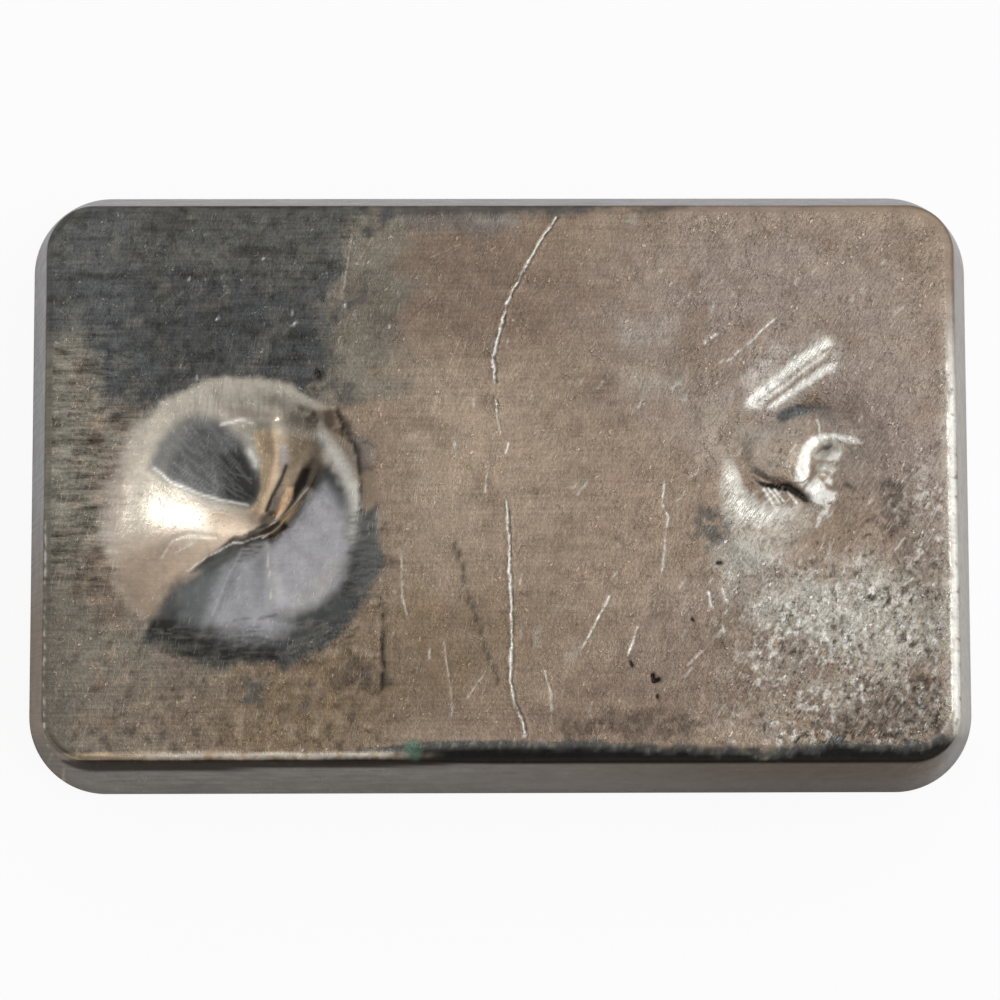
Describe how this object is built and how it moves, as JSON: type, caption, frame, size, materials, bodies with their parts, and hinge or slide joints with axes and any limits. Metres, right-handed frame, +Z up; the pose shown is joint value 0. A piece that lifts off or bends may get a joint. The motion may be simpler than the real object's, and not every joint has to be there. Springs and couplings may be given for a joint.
{
  "type": "metal ingot",
  "caption": "Cast soft-metal ingot: a tapered slab with rounded corners, a large creased shrinkage sink and a small knotted one in its upper face; raw stock for melting.",
  "frame": {"origin": "middle of the base, on the floor it lies on", "axes": "+X along the length, towards the knotted sink; +Y across the width; +Z up, out of the face with the sinks"},
  "size_m": [0.116, 0.074, 0.018],
  "materials": {
    "cast_metal": "as cast, tarnished and scuffed"
  },
  "bodies": {
    "root": {"ingot": "cast_metal"}
  },
  "joints": []
}
